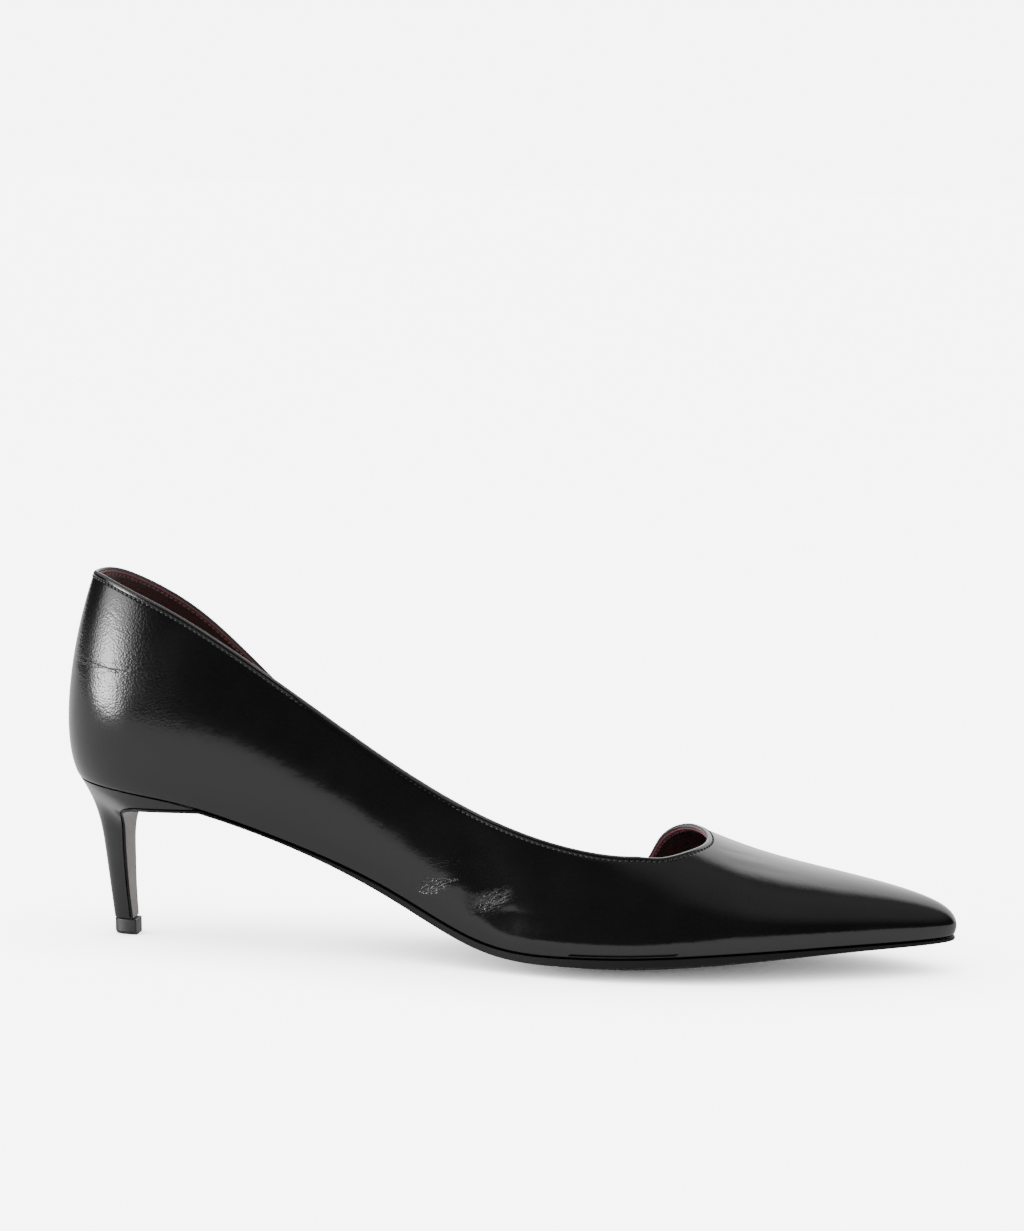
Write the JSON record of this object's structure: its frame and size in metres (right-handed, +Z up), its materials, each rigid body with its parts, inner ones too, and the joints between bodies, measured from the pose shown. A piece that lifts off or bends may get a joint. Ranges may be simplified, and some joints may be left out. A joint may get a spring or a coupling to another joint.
{
  "type": "d'Orsay pump",
  "caption": "Black leather d'Orsay pump with a pointed toe, high back, low cut inner side and a slim mid-height heel.",
  "frame": {"origin": "on the floor, below the middle of the shoe's bounding box", "axes": "+X toward the toe, +Y toward the inner side of the foot, +Z up"},
  "size_m": [0.2595, 0.074, 0.1076],
  "materials": {
    "upper_leather": "smooth glossy calf",
    "lining_leather": "satin lining",
    "sole_leather": "satin painted sole",
    "heel_covering": "smooth glossy covering",
    "lift_plastic": "matte"
  },
  "bodies": {
    "root": {"upper": "upper_leather", "insole": "lining_leather", "outsole": "sole_leather", "heel": "heel_covering", "top_lift": "lift_plastic"}
  },
  "joints": []
}
